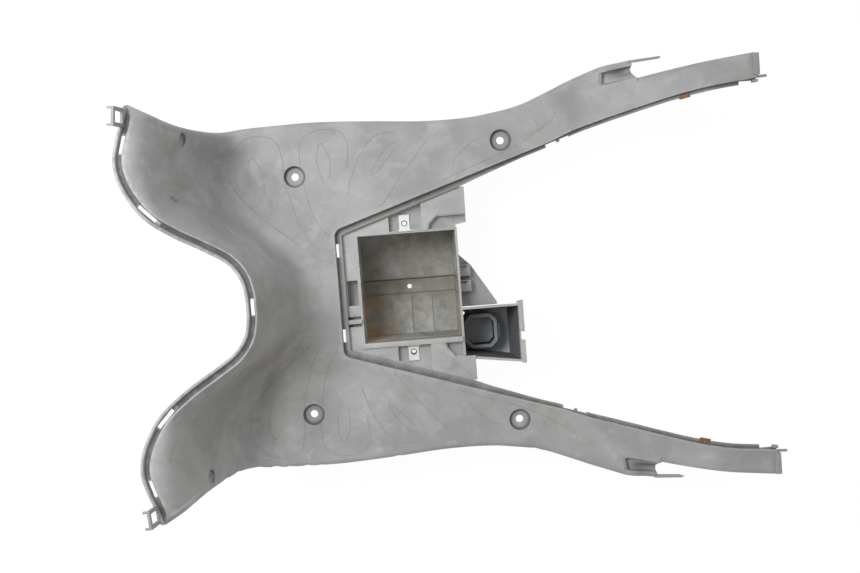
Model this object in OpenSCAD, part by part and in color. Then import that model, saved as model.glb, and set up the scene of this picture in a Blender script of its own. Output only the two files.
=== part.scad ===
// Scooter floorboard: one moulded shell that carries the battery box, with its clip nuts and socket boot.
// X runs to the rear, Y to the rider's right and Z up. The origin lies midway between the two front
// floor bolts, on the seats of their collars. The shapes are worked out from the top face of the floor,
// which lies one collar depth higher, and each node is lifted by that in the end.
// The floor is a loft through key stations: each runs from the edge of the centre recess out to the
// front rim, the outer edge or the side of a rear arm.

/* [Floor shell] */
// Thickness of the moulded wall
wall = 2.8; // [2.4:0.1:3.4]
// Height of the outer skirt under the floor
skirt_drop = 16; // [12:1:20]
// Height of the front rim at the middle
rim_mid_z = 118; // [100:1:130]
// Height of the front rim on the wings
rim_wing_z = 163; // [145:1:175]
// Height of the wing tips
tip_z = 150; // [130:1:160]
// How far the inner face of a wing lies under its outer band
scoop_depth = 9; // [4:1:11]
// Height of the rear arms at their ends
arm_rise = 78; // [60:1:90]

/* [Recess and ledge] */
// Front edge of the centre recess
recess_x = 41; // [36:1:44]
// Half width of the recess at its front edge
recess_half = 76.5; // [72:0.5:80]
// How far the ledge for the cover lies under the floor
ledge_drop = 7; // [5:0.5:9]
// Width of the ledge round the recess
ledge_w = 8.4; // [7:0.2:10]
// Depth of the foot peg pockets
peg_pocket_depth = 9; // [5:1:12]

/* [Floor bolts] */
// Distance between the two front bolts
front_track = 284; // [270:1:296]
// Distance between the two rear bolts
rear_track = 335; // [329:1:340]
// Distance from the front to the rear bolts
bolt_base = 246; // [236:1:256]
// Bore for each floor bolt
bolt_bore_d = 9.2; // [6:0.2:11]
// Diameter of the recess for the bolt's collar
collar_d = 24.6; // [20:0.2:26]
// Depth of the recess for the bolt's collar
collar_depth = 5.5; // [4:0.5:8]
// Bore for the side screw of each wing
side_bore_d = 5.6; // [4:0.2:7]

/* [Battery box] */
// Inner length of the box at its rim
box_l = 117; // [110:1:120]
// Inner width of the box at its rim
box_w = 129; // [122:1:132]
// Depth of the box under its rim
box_depth = 70; // [60:1:84]
// Draft of the box walls in degrees
box_draft = 1.4; // [0.5:0.1:2]
// Diameter of the drain hole
drain_d = 5.6; // [4:0.2:8]

/* [Lead box] */
// Length of the small box behind the battery
lead_l = 70; // [62:1:76]
// Depth of the small box
lead_depth = 66; // [55:1:75]
// Outer width of the socket boot
boot_w = 42; // [38:1:43]
// Height of the socket boot
boot_h = 26; // [18:1:34]
// Wall of the socket boot
boot_wall = 4; // [3:0.2:6]

/* [Clip nuts] */
// Width of a clip nut
clip_w = 12.6; // [11:0.2:15]
// Length of a clip nut
clip_l = 17.5; // [15:0.5:20]
// Sheet of a clip nut
clip_t = 1.2; // [0.8:0.1:1.6]
// Bore of a clip nut's thread
clip_bore_d = 5; // [4:0.1:6]

/* [Hidden] */
$fn = 32;

// Room between a fitted piece and its seat
fit = 0.1;
// How far one feature runs into the next
bite = 1;

// Smooth step from 0 to 1, flat at both ends
function ease(t) = let (c = min(1, max(0, t))) c * c * c * (c * (6 * c - 15) + 10);
function mix(a, b, t) = a + (b - a) * t;

// Edge of the recess as a straight line across each half
recess_slope = 0.327;
recess_line_x = recess_x + 3;
function recess_y(x) = recess_half + (x - recess_line_x) * recess_slope;

// Plan of the front wall: where it reaches the rim and where it leaves the floor
top_plan = [[0, -40.1], [19.8, -42.2], [39.5, -51.5], [59.2, -72.1], [78.6, -105.6],
            [93.2, -126], [107.8, -139.5], [122.4, -149.2], [137, -155.8], [151.6, -159.7], [166.3, -160.1], [195.7, -158.1], [240, -157.3]];
foot_plan = [[0, 12], [20, 11], [40, 5], [60, -12], [80, -34], [100, -48], [120, -56],
             [140, -60], [170, -61], [200, -57], [240, -54]];
rim_z_plan = [[0, rim_mid_z], [25, rim_mid_z + 2], [45, mix(rim_mid_z, rim_wing_z, 0.2)],
              [70, mix(rim_mid_z, rim_wing_z, 0.62)], [95, mix(rim_mid_z, rim_wing_z, 0.93)],
              [120, rim_wing_z], [170, rim_wing_z], [200, mix(rim_wing_z, tip_z, 0.5)],
              [229, tip_z], [240, tip_z - 2]];
// Share of the smooth step that the wall uses: at the middle it stops while still steep
steep_plan = [[0, 0.72], [40, 0.74], [90, 0.9], [140, 1], [240, 1]];
// Outer edge of the wing in plan, from its tip back to the floor
wing_edge_plan = [[-153.7, 224.2], [-137.4, 214.2], [-127.1, 207.6], [-115.7, 201.9],
                  [-103.8, 198.2], [-91.7, 198.1], [-79.6, 199.7], [-57.9, 202.4], [-38.5, 203.7], [0.5, 204.3]];
// Side of the rear arm in plan
function arm_side(x) = 224.5 + (x - 405) * 0.1;

function wall_rise(x, y) =
    let (foot = lookup(y, foot_plan),
         top = lookup(y, top_plan),
         k = lookup(y, steep_plan))
    lookup(y, rim_z_plan) * ease(k * (foot - x) / (foot - top)) / ease(k);
function scoop(x, y) =
    -scoop_depth * ease((lookup(x, wing_edge_plan) - y - 8) / 34) * ease((-30 - x) / 50)
    * (1 - ease((-105 - x) / 40));
arm_from = 332;
arm_to = 488;
function smooth(t) = let (c = min(1, max(0, t))) c * c * (3 - 2 * c);
function arm_z(x) = arm_rise * smooth((x - arm_from) / (arm_to - arm_from));
// The floor stays low outside the arm, where the foot peg folds
function side_drop(x, y) = -24 * ease((x - 366) / 42) * ease((y - arm_side(x)) / 14);
function height(x, y) = let (h = abs(y)) wall_rise(x, h) + scoop(x, h) + arm_z(x) + side_drop(x, h);

// Unit normal of the top face
function normal(x, y) =
    let (d = 1.5,
         gx = (height(x + d, y) - height(x - d, y)) / (2 * d),
         gy = (height(x, y + d) - height(x, max(0, y - d))) / (y > d ? 2 * d : d + y))
    [-gx, y == 0 ? 0 : -gy, 1] / norm([gx, y == 0 ? 0 : gy, 1]);

// Key stations of the right half, from the middle of the front rim back to the arm's end:
// inner point, middle point, outer point, rim share, skirt height, ledge width, lip height, pocket,
// which side of a corner of the outer edge it lies on, and whether it is cut square to X
lip = 8;
arm_ledge = 5;
arm_lip = 3;
arm_end_x = 530;
function on_line(x) = [x, recess_y(x)];
// Rounded corner of the recess, from the front edge (t = 0) round to the slanted one (t = 1)
recess_r = 11;
recess_turn = 90 - atan(recess_slope);
recess_c = [recess_x + recess_r, recess_y(recess_x + recess_r) - recess_r / sin(recess_turn)];
function corner_at(t) = recess_c + recess_r * [-cos(t * recess_turn), sin(t * recess_turn)];
arm_x = 405;
function key(inner, middle, outer, rim, skirt, ledge, lip_h, pocket = 0, turn = 0, square = false) =
    [inner.x, inner.y, middle.x, middle.y, outer.x, outer.y, rim, skirt, ledge, lip_h, pocket, turn, square ? 1 : 0];
front_keys = [
    key([recess_x, 0], [12, 0], [-52.4, 0], 1, 0, ledge_w, lip),
    key([recess_x, 12], [11, 14], [-53.4, 16.8], 1, 0, ledge_w, lip),
    key([recess_x, 24], [6, 28], [-58.3, 33.1], 1, 0, ledge_w, lip),
    key([recess_x, 35], [-3, 42], [-70.8, 49.3], 1, 0, ledge_w, lip),
    key([recess_x, 44], [-20, 57], [-93.4, 64.5], 1, 0, ledge_w, lip),
    key([recess_x, 51], [-36, 71], [-121, 82], 1, 0, ledge_w, lip),
    key([recess_x, 57], [-47, 86], [-144.2, 101.9], 1, 0, ledge_w, lip),
    key([recess_x, 62], [-54, 99], [-158.7, 123.3], 1, 0, ledge_w, lip),
    key(corner_at(0), [-58, 110], [-167.2, 143.7], 1, 0, ledge_w, lip),
    key(corner_at(0.25), [-61, 118], [-169.9, 163.2], 1, 0, ledge_w, lip),
    key(corner_at(0.5), [-63, 125], [-166.4, 181.9], 1, 0, ledge_w, lip),
    key(corner_at(0.75), [-64, 131], [-160.8, 202.5], 1, 0, ledge_w, lip),
    key(corner_at(1), [-65, 136], [-155.7, 220.2], 1, 0, ledge_w, lip, 0, -1),
    key(on_line(51), [-65, 141], [-152.3, 221.3], 0, 6, ledge_w, lip, 0, 1),
    key(on_line(55), [-65, 150], [-135.6, 212.2], 0, 7, ledge_w, lip),
    key(on_line(59), [-62, 161], [-113.1, 200.9], 0, 8, ledge_w, lip),
    key(on_line(66), [-53, 170], [-88.2, 198.5], 0, 9, ledge_w, lip),
    key(on_line(76), [-37, 176], [-59.9, 202.4], 0, skirt_drop * 0.7, ledge_w, lip),
    key(on_line(92), [-6, 175], [-23.9, 203.9], 0, skirt_drop, ledge_w, lip),
    key(on_line(118), [50, 168], [29.9, 204.6], 0, skirt_drop, ledge_w, lip),
    key(on_line(152), [108, 163], [94.1, 201.3], 0, skirt_drop, ledge_w, lip),
    key(on_line(186), [166, 162], [153.9, 197.1], 0, skirt_drop, ledge_w, lip),
    key(on_line(214), [212, 167], [204.2, 197.2], 0, skirt_drop, 7, arm_lip),
    key(on_line(240), [240, 172], [237.6, 200.9], 0, skirt_drop, 6, arm_lip),
    key(on_line(270), [270, 183], [271.1, 207.5], 0, skirt_drop, arm_ledge, arm_lip),
    key(on_line(302), [302, 198], [303.8, 220], 0, skirt_drop, arm_ledge, arm_lip),
    key([334, 173.5], [334, 211.5], [334, 232.5], 0, skirt_drop * 0.8, arm_ledge, arm_lip),
    key([363.7, 182], [363.7, 219.5], [363.7, 242.4], 0, skirt_drop * 0.6, arm_ledge, arm_lip),
    key([372, 184.2], [372, 220.8], [372, 244.3], 0, skirt_drop * 0.6, arm_ledge, arm_lip, 1),
    key([386, 187.6], [386, 222.2], [386, 246.8], 0, skirt_drop * 0.6, arm_ledge, arm_lip, 1),
    key([arm_x, 192], [arm_x, 224.6], [arm_x, 249.6], 0, skirt_drop * 0.6, arm_ledge, arm_lip, 1, 0, true)
];
// Key stations of the arm behind the peg pocket
arm_keys = [
    key([arm_x, 192], [arm_x, 217], [arm_x, 225.1], 0, skirt_drop, arm_ledge, arm_lip, 0, 0, true),
    key([440, 199.7], [440, 221.3], [440, 229.5], 0, skirt_drop * 1.2, arm_ledge, arm_lip),
    key([481, 206.4], [481, 226.2], [481, 234.4], 0, skirt_drop * 1.2, arm_ledge, arm_lip),
    key([arm_end_x, 211.6], [arm_end_x, 231.7], [arm_end_x, 240], 0, skirt_drop * 1.2, arm_ledge, arm_lip)
];
TURN = 11;
SQUARE = 12;

// Direction in plan that leaves the shell at right angles to an edge
function away(p, q) = let (t = q - p) [t.y, -t.x] / norm(t);
function inner_of(s) = [s[0], s[1]];
function middle_of(s) = [s[2], s[3]];
function outer_of(s) = [s[4], s[5]];
function outward(keys, i, j) = -away(outer_of(keys[i]), outer_of(keys[j]));
// At a corner of the outer edge both keys share the mitre of its two sides
function out_dir(keys, i) =
    let (last = len(keys) - 1, turn = keys[i][TURN])
    keys[i][SQUARE] > 0.5 ? [0, 1]
    : i == 0 ? [-1, 0]
    : turn == 0 ? outward(keys, i - 1, min(last, i + 1))
    : let (a = turn < 0 ? outward(keys, i - 1, i) : outward(keys, i - 2, i - 1),
           b = turn < 0 ? outward(keys, i + 1, i + 2) : outward(keys, i, i + 1),
           m = (a + b) / norm(a + b))
      m / (m * a);
function in_dir(keys, i) =
    keys[i][SQUARE] > 0.5 ? [0, -1]
    : i == 0 ? [1, 0]
    : away(inner_of(keys[i - 1]), inner_of(keys[min(len(keys) - 1, i + 1)]));
OUT = 13;
IN = 15;

// Smooth curve through the key stations: it runs straight into a corner instead of round it
function turned(k) = abs(k[TURN]) > 0.5;
function mirrored(k) = [for (j = [0:len(k) - 1]) (j == 1 || j == 3 || j == 5 || j == OUT + 1 || j == IN + 1) ? -k[j] : k[j]];
function between(keys, i, f) =
    let (b = keys[i],
         c = keys[i + 1],
         a = i > 0 && !turned(b) ? keys[i - 1] : b[SQUARE] > 0.5 || turned(b) ? 2 * b - c : mirrored(c),
         d = turned(c) || i + 2 > len(keys) - 1 ? 2 * c - b : keys[i + 2])
    0.5 * (2 * b + (c - a) * f + (2 * a - 5 * b + 4 * c - d) * f * f + (3 * b - a - 3 * c + d) * f * f * f);
function stations(keys, single_from, single_to) =
    let (full = [for (i = [0:len(keys) - 1]) concat(keys[i], out_dir(keys, i), in_dir(keys, i))])
    concat([for (i = [0:len(keys) - 2])
                let (n = i >= single_from && i <= single_to ? 1 : 2)
                for (f = [0:n - 1]) between(full, i, f / n)],
           [full[len(keys) - 1]]);
// Short or straight stretches take one step between keys, the others two
straight_from = 16;
half = stations(front_keys, straight_from, len(front_keys));
arm = stations(arm_keys, len(arm_keys), len(arm_keys));

// Rows across a station: steps from the ledge to the middle point, and on to the edge profile
floor_rows = 2;
side_rows = 5;
rows = floor_rows + side_rows;
rim_band = 11;
skirt_band = 7;
// How much the rows crowd towards the outer edge where it isn't the rim
crowd = 1.35;
function out_of(s) = [s[OUT], s[OUT + 1]];
function in_of(s) = [s[IN], s[IN + 1]];
function row_plan(s, v) =
    let (last = outer_of(s) - out_of(s) * mix(skirt_band, rim_band, s[6]))
    v <= floor_rows ? mix(inner_of(s), middle_of(s), v / floor_rows)
    : mix(middle_of(s), last, 1 - pow(1 - (v - floor_rows) / side_rows, mix(crowd, 1, s[6])));
function pocket_of(s, v) = v > floor_rows && v < rows ? -peg_pocket_depth * min(1, max(0, s[10])) : 0;
function row_top(s, v) =
    let (p = row_plan(s, v)) [p.x, p.y, height(p.x, p.y) + pocket_of(s, v)];
// The under face keeps the wall's thickness. Under the rim it follows the channel, and on the arms it
// lies straight below the top face.
upright_from = 300;
function row_under(s, v) =
    let (p = row_top(s, v),
         n = normal(p.x, p.y),
         q = p.x > upright_from ? p - [0, 0, wall / n.z] : p - wall * n,
         r = outer_of(s) + out_of(s) * (0.6 - rim_band))
    v == rows ? mix(q, [r.x, r.y, p.z - 6.6], s[6]) : q;

// Edge profiles as pairs of distance from the edge line and height, top faces then under faces.
// The rim is a channel between two ridges, in which the mating panel's lip sits.
rim_top = [[-8.6, -3.6], [-4.2, -3.6], [-2.4, 0.6], [0, 0.6]];
rim_under = [[0, -6.6], [-2.2, -6.6], [-4.6, -6.2], [-9.4, -6.2]];
function skirt_top(h) = [[-3.6, -0.7], [-1.2, -2.6], [0, -6], [0.6, -h]];
function skirt_under(h) = [[0.6 - wall, -h], [-wall, -6.2], [-wall - 0.9, -4.6], [-wall - 2.6, -0.5 - wall]];
function edge_points(s, rim, skirt, base) =
    [for (i = [0:3]) let (e = mix(skirt[i], rim[i], s[6]), p = outer_of(s) + out_of(s) * e.x) [p.x, p.y, base + e.y]];
// The ledge steps down inside the recess edge and ends in a lip that carries the recess floor
function ledge_top(w, l) = [[0.8, -ledge_drop], [w, -ledge_drop], [w, -ledge_drop - l]];
function ledge_under(w, l) =
    [[w - 2.2, -ledge_drop - l], [w - 2.2, -ledge_drop - wall + 0.4], [-wall + 0.9, -ledge_drop - wall + 0.4],
     [-wall, -wall - 0.6]];
function inner_points(s, prof, base) =
    [for (e = prof) let (p = inner_of(s) + in_of(s) * e.x) [p.x, p.y, base + e.y]];

// One closed section: along the top from the ledge to the edge, and back along the under side
function section(s) =
    let (h = max(s[7], 6.5),
         base_in = height(s[0], s[1]),
         q = row_plan(s, rows),
         base_out = height(q.x, q.y),
         up = concat([for (i = [2:-1:0]) inner_points(s, ledge_top(s[8], s[9]), base_in)[i]],
                     [for (v = [0:rows]) row_top(s, v)],
                     edge_points(s, rim_top, skirt_top(h), base_out)),
         down = concat(edge_points(s, rim_under, skirt_under(h), base_out),
                       [for (v = [rows:-1:1]) row_under(s, v)],
                       [for (i = [3:-1:0]) inner_points(s, ledge_under(s[8], s[9]), base_in)[i]]))
    concat(up, down);
right_half = [for (s = half) section(s)];
left_half = [for (j = [len(half) - 1:-1:1]) [for (p = right_half[j]) [p.x, -p.y, p.z]]];

function level(p) = [p.x, p.y];
function shorter(a, d, b, c) = norm(level(a - d)) < norm(level(b - c));
// Skin over a row of closed sections, with both ends capped between top and under faces
module loft(rings) {
    n = len(rings[0]);
    m = len(rings);
    half_n = floor((n - 1) / 2);
    skin = [for (i = [0:m - 2]) for (k = [0:n - 1])
                let (a = i * n + k, b = i * n + (k + 1) % n, c = a + n, d = b + n)
                each (shorter(rings[i][k], rings[i + 1][(k + 1) % n], rings[i][(k + 1) % n], rings[i + 1][k])
                      ? [[a, b, d], [a, d, c]] : [[a, b, c], [b, d, c]])];
    function cap(o, flip) =
        [for (k = [0:half_n - 1])
             let (a = o + k, b = o + k + 1, c = o + n - 1 - k, d = o + n - 2 - k)
             each (flip ? [if (b != d) [a, b, d], if (a != c) [c, a, d]]
                        : [if (b != d) [b, a, d], if (a != c) [a, c, d]])];
    polyhedron(points = [for (r = rings) each r],
               faces = concat(skin, cap(0, false), cap((m - 1) * n, true)), convexity = 10);
}

// Block between a lower and an upper outline of four corners each, listed the same way round
module block(low, z_low, high, z_high) {
    polyhedron(points = concat([for (p = low) [p.x, p.y, z_low]], [for (p = high) [p.x, p.y, z_high]]),
               faces = [[3, 2, 1, 0], [4, 5, 6, 7], [1, 5, 4, 0], [2, 6, 5, 1], [3, 7, 6, 2], [0, 4, 7, 3]]);
}
module bar(x0, x1, y0, y1, z0, z1) {
    translate([x0, y0, z0]) cube([x1 - x0, y1 - y0, z1 - z0]);
}
module plate(outline, z, t) {
    translate([0, 0, z - t]) linear_extrude(t) polygon(outline);
}
module both_sides() {
    children();
    mirror([0, 1, 0]) children();
}

// Levels of the recess floor
pad_z = -ledge_drop - 5;
clip_z = pad_z - 5;
rear_pad_z = pad_z + 2;
pad_t = 2.6;
// Inner face of the lip under the ledge, and where a pad ends inside that lip
function lip_y(x) = recess_y(x) - 1.052 * ledge_w;
function seat_y(x) = lip_y(x) + 1.1;
lip_x = recess_x + ledge_w;
pads_end = 199;
clip_from = 105;
clip_to = 147;

// Battery box
box_x0 = 67.5;
box_x1 = box_x0 + box_l;
box_y0 = 1.5 - box_w / 2;
box_y1 = 1.5 + box_w / 2;
box_floor_z = pad_z - box_depth;
draft = box_depth * tan(box_draft);
function corners(x0, x1, y0, y1) = [[x0, y0], [x0, y1], [x1, y1], [x1, y0]];
channel_y0 = -11.5;
channel_y1 = 7.5;
// Width of the rolled edge along the left wall
roll_w = 6;
// Outer face of the box wall on either side, as a distance from the middle
function wall_out(side) = side > 0 ? box_y1 + wall : roll_w - box_y0;
module battery_box() {
    difference() {
        block(corners(box_x0 + draft - wall, box_x1 - draft + wall, box_y0 + draft - wall, box_y1 - draft + wall),
              box_floor_z - wall,
              corners(box_x0 - wall, box_x1 + wall, box_y0 - wall, box_y1 + wall), pad_z);
        block(corners(box_x0 + draft, box_x1 - draft, box_y0 + draft, box_y1 - draft), box_floor_z,
              corners(box_x0 - 0.05, box_x1 + 0.05, box_y0 - 0.05, box_y1 + 0.05), pad_z + 1);
        bar(box_x0 + draft + 1, box_x1 - draft - 1, channel_y0, channel_y1, box_floor_z - 1.2, box_floor_z + 1);
        translate([box_x0 + box_l / 2, (channel_y0 + channel_y1) / 2, box_floor_z - 2 * wall])
            cylinder(d = drain_d, h = 3 * wall);
    }
    // Low ribs on the floor that the battery stands on
    for (x = [0.27, 0.5, 0.72])
        bar(box_x0 + box_l * x, box_x0 + box_l * x + 1.4, box_y0 + draft - 1, channel_y0 - 4,
            box_floor_z - bite, box_floor_z + 0.9);
    // Rolled top edge along the left wall
    bar(box_x0 - wall, box_x1 + 0.8, box_y0 - roll_w, box_y0 - 0.1, pad_z - pad_t + 0.4, pad_z + 2.4);
}

// Small box for the leads, behind the battery on the left
lead_x0 = box_x1 + wall + 0.2;
lead_x1 = box_x1 + lead_l;
lead_y1 = -31;
lead_y0 = -87;
lead_y2 = -97;
lead_z = pad_z - lead_depth;
lead_slant = 9;
lead_slant_y = 6;
flange_w = 6;
notch_y0 = -73;
notch_y1 = -62.7;
module lead_box() {
    difference() {
        union() {
            block([[lead_x0 - wall, lead_y0 + 2 - wall], [lead_x0 - wall, lead_y1 - lead_slant_y + wall],
                   [lead_x1 - lead_slant + wall, lead_y1 - lead_slant_y + wall],
                   [lead_x1 - lead_slant + wall, lead_y2 + 2 - wall]], lead_z - wall,
                  [[lead_x0 - wall, lead_y0 - wall], [lead_x0 - wall, lead_y1 + wall],
                   [lead_x1 + wall, lead_y1 + wall], [lead_x1 + wall, lead_y2 - wall]], pad_z);
            // Flange along the rear of the box, and the thick rim of its right wall
            plate([[lead_x1 + 1, lead_y2 - wall - 1], [lead_x1 + 1, lead_y1 + wall], [lead_x1 - 2, lead_y1 + wall + 1],
                   [lead_x1 - 2, lead_y1 + wall + 2.4], [lead_x1 + flange_w, lead_y1 + wall + 4],
                   [lead_x1 + flange_w, lead_y2 - wall - 1]], pad_z + 0.6, 3);
        }
        block([[lead_x0, lead_y0 + 2], [lead_x0, lead_y1 - lead_slant_y], [lead_x1 - lead_slant, lead_y1 - lead_slant_y],
               [lead_x1 - lead_slant, lead_y2 + 2]], lead_z,
              [[lead_x0, lead_y0], [lead_x0, lead_y1], [lead_x1 + 0.2, lead_y1], [lead_x1 + 0.2, lead_y2]], pad_z + 1);
        bar(lead_x1 + 1.2, lead_x1 + flange_w + 1, notch_y0, notch_y1, pad_z - 12, pad_z + 2);
        translate([lead_x0 + 3.4, lead_y1 - lead_slant_y - 4, lead_z - 2 * wall]) cylinder(d = 4, h = 3 * wall);
    }
}

// Low plate and two cable clips behind the battery box
web_z = -40;
module rear_web() {
    x0 = box_x1 + 0.8;
    plate([[x0, 38], [box_x1 + 17.5, 21.5], [box_x1 + 47, lead_y1 + 5], [box_x1 + 47, lead_y1 + 1.5],
           [x0, lead_y1 + 1.5]], web_z, pad_t);
    for (y = [15.5, -3.5]) difference() {
        union() {
            bar(x0, box_x1 + 16.5, y - 7, y + 7, web_z + 8, web_z + 10.4);
            bar(box_x1 + 14.2, box_x1 + 16.5, y - 7, y + 7, web_z - bite, web_z + 9);
        }
        bar(box_x1 + wall + 1, box_x1 + 11.5, y + 3.4, y + 5.6, web_z + 6, web_z + 12);
    }
}

// Floor of the recess round the two boxes: front strip, pads, clip trays and rear pads
cable_y0 = -42;
cable_y1 = -29.6;
well_y0 = -16.6;
well_y1 = 13.9;
module recess_floor() {
    front = box_x0 - wall + bite;
    difference() {
        union() {
            plate([[lip_x - 1.1, -recess_half + 8], [lip_x - 1.1, recess_half - 8],
                   [front, seat_y(front)], [front, -seat_y(front)]], pad_z, pad_t);
            bar(lip_x - 0.6, front, well_y0 - 2, well_y1 + 2, pad_z - 16, pad_z - 1);
            bar(recess_x - 1.4, front, cable_y0 - 2, cable_y1 + 2, pad_z - 9, pad_z - 0.4);
            bar(recess_x + 0.2, front, cable_y0 + 3.8, cable_y1 - 3.8, pad_z - 8, pad_z + 3.2);
        }
        bar(lip_x + 1.6, front - 1.8, well_y0, well_y1, pad_z - 13.6, pad_z + 1);
        for (y = [cable_y0, cable_y1 - 3.6])
            bar(recess_x + 0.4, front + 1, y, y + 3.6, pad_z - 7, pad_z + 6);
    }
    for (side = [1, -1]) mirror([0, side < 0 ? 1 : 0, 0]) {
        inner = wall_out(side) - bite;
        plate([[front - bite, inner], [front - bite, seat_y(front - bite)], [clip_from, seat_y(clip_from)],
               [clip_from, inner]], pad_z, pad_t);
        clip_tray(wall_out(side));
        rear_pad(inner, side);
    }
}
// Tray between two pads, in which a clip nut sits on the edge of a slot by the box wall
clip_x = 125;
clip_reach = 7;
slot_w = clip_t + 0.6;
module clip_tray(out) {
    inner = out - bite;
    difference() {
        plate([[clip_from - 1.2, inner], [clip_from - 1.2, seat_y(clip_from - 1.2)],
               [clip_to + 1.2, seat_y(clip_to + 1.2)], [clip_to + 1.2, inner]], rear_pad_z - 0.6,
              rear_pad_z - 0.6 - clip_z + pad_t);
        plate([[clip_from + 1.2, out + 0.2], [clip_from + 1.2, seat_y(clip_from + 1.2) - 2.2],
               [clip_to - 1.2, seat_y(clip_to - 1.2) - 2.2], [clip_to - 1.2, out + 0.2]], 0, -clip_z);
        bar(clip_x - clip_w / 2 - 1, clip_x + clip_w / 2 + 1, out - 0.2, out + slot_w, clip_z - 2 * pad_t, clip_z + 1);
        translate([clip_x, out + slot_w + clip_reach, clip_z - 2 * pad_t]) cylinder(d = 9, h = 3 * pad_t);
    }
}
module rear_pad(inner, side) {
    cut = inner + (side > 0 ? 17 : 19);
    step_x = side > 0 ? 160 : 171;
    step_end = side > 0 ? pads_end : lead_x0 - wall + bite;
    difference() {
        union() {
            plate([[clip_to - 0.4, inner], [clip_to - 0.4, seat_y(clip_to - 0.4)], [pads_end - 8, seat_y(pads_end - 8)],
                   [pads_end, seat_y(pads_end) - 3], [pads_end, cut], [step_x + 4, cut], [step_x - 6, inner + 8],
                   [step_x - 8, inner]], rear_pad_z, pad_t);
            // Step down beside the box wall
            plate([[step_x - 9, inner], [step_x - 7, inner + 9], [step_x + 3, cut + 1], [step_end, cut + 1],
                   [step_end, inner + 6], [box_x1 + wall - bite, inner + 4], [box_x1 + wall - bite, inner]],
                  rear_pad_z - 1.2, 9.4);
        }
        plate([[step_x - 6, inner + 0.6], [step_x - 5, inner + 7], [step_x + 4, cut - 1.4], [pads_end + 1, cut - 1.4],
               [pads_end + 1, inner + 8.4], [box_x1, inner + 5], [box_x1, inner + 0.6]], rear_pad_z + 1, 8);
    }
}

// Boss under each floor bolt
boss_d = collar_d + 6;
boss_floor = 3;
bolts = [for (side = [1, -1]) each [[0, side * front_track / 2], [bolt_base, side * rear_track / 2]]];
module bolt_bosses() {
    for (b = bolts) translate([b.x, b.y, -collar_depth - boss_floor])
        cylinder(d = boss_d, h = collar_depth + boss_floor - 1.1);
}
module bolt_holes() {
    for (b = bolts) translate([b.x, b.y, 0]) {
        translate([0, 0, -collar_depth]) cylinder(d = collar_d, h = collar_depth + 10);
        translate([0, 0, -30]) cylinder(d = bolt_bore_d, h = 40);
    }
}

// Cup for the side screw of each wing, square to the wall of the wing
side_plan = [-110.3, 187.3];
side_cup_d = 15;
side_cup_depth = 4;
side_at = [side_plan.x, side_plan.y, height(side_plan.x, side_plan.y)];
side_n = normal(side_plan.x, side_plan.y);
module square_to_wing() {
    translate(side_at)
        rotate([0, acos(side_n.z), atan2(side_n.y, side_n.x)]) children();
}
module side_cups() {
    both_sides() square_to_wing() translate([0, 0, -side_cup_depth - 2.6]) cylinder(d = side_cup_d + 4.4,
                                                                                 h = side_cup_depth + 0.6);
}
module side_holes() {
    both_sides() square_to_wing() {
        translate([0, 0, -side_cup_depth]) cylinder(d = side_cup_d, h = side_cup_depth + 12);
        translate([0, 0, -25]) cylinder(d = side_bore_d, h = 30);
    }
}

// Slots for the mating panel's clips, in the channel of the rim
groove_mid = 6.4;
slot_span = 4;
module rim_slot(s, length) {
    d = out_of(s);
    p = outer_of(s) - d * groove_mid;
    q = outer_of(s) - d * rim_band;
    translate([p.x, p.y, height(q.x, q.y)]) rotate([0, 0, atan2(d.y, d.x)])
        translate([-slot_span / 2, -length / 2, -10]) cube([slot_span, length, 11]);
}
module rim_slots() {
    rim_slot(half[0], 18);
    both_sides() {
        rim_slot(half[12], 27);
        rim_slot(half[20], 19);
    }
}

// Slots in the ledge: two by the recess front, one and a gap at the root of each arm, one at its end
module ledge_slots() {
    both_sides() bar(recess_x + 0.9, recess_x + 4, 43, 59, -ledge_drop - 6, -ledge_drop + 2);
    both_sides() {
        for (x = [[299, 313], [316, 328]])
            translate([x[0], recess_y(x[0]), 0]) rotate([0, 0, 18])
                bar(0, x[1] - x[0], -arm_ledge - 1, -1.6, -ledge_drop - 6, -ledge_drop + 4);
        bar(511, 526, 203, 208.6, arm_rise - ledge_drop - 6, arm_rise - ledge_drop + 4);
    }
}

// Lug on each wing tip: an upright open square with two short horns
lug_w = 20;
lug_h = 31;
lug_lean = 10;
module wing_lugs() {
    both_sides() translate([-156.4, 198, tip_z - 8]) rotate([0, -lug_lean, -5]) {
        difference() {
            bar(-wall / 2, wall / 2, 0, lug_w, 0, lug_h + 6);
            bar(-wall, wall, 4, lug_w - 4, 15, lug_h + 2);
        }
        bar(-6, 0, 0, 2.4, lug_h + 3.4, lug_h + 6);
        bar(-6, 0, lug_w - 2.4, lug_w, lug_h + 3.4, lug_h + 6);
    }
}

// Thin strip that runs on past each peg pocket
finger_end = 439;
module fingers() {
    both_sides()
        block([[402, 246], [402, 248.6], [finger_end, 251.3], [finger_end, 249.1]], 3,
              [[402, 245.8], [402, 248.4], [finger_end, 251.1], [finger_end, 248.9]], 12);
}

// End of each arm: a raised lip, a locating pin and a tooth beside it
module arm_ends() {
    both_sides() {
        difference() {
            bar(arm_end_x - 4, arm_end_x + 3, 214.6, 238.4, arm_rise - 18, arm_rise + 1.4);
            bar(arm_end_x - 5, arm_end_x + 0.4, 213.6, 236, arm_rise - 20, arm_rise - 2);
        }
        translate([arm_end_x - 6, 212, arm_rise - 4]) rotate([0, 90, 3]) cylinder(d = 3.2, h = 18);
        bar(arm_end_x - 4, arm_end_x + 2, 206.8, 209.8, arm_rise - ledge_drop - 2.2, arm_rise - ledge_drop + 3);
        bar(arm_end_x - 4, arm_end_x, 206.8, 213.4, arm_rise - ledge_drop - 2.2, arm_rise - ledge_drop);
    }
}

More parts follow.
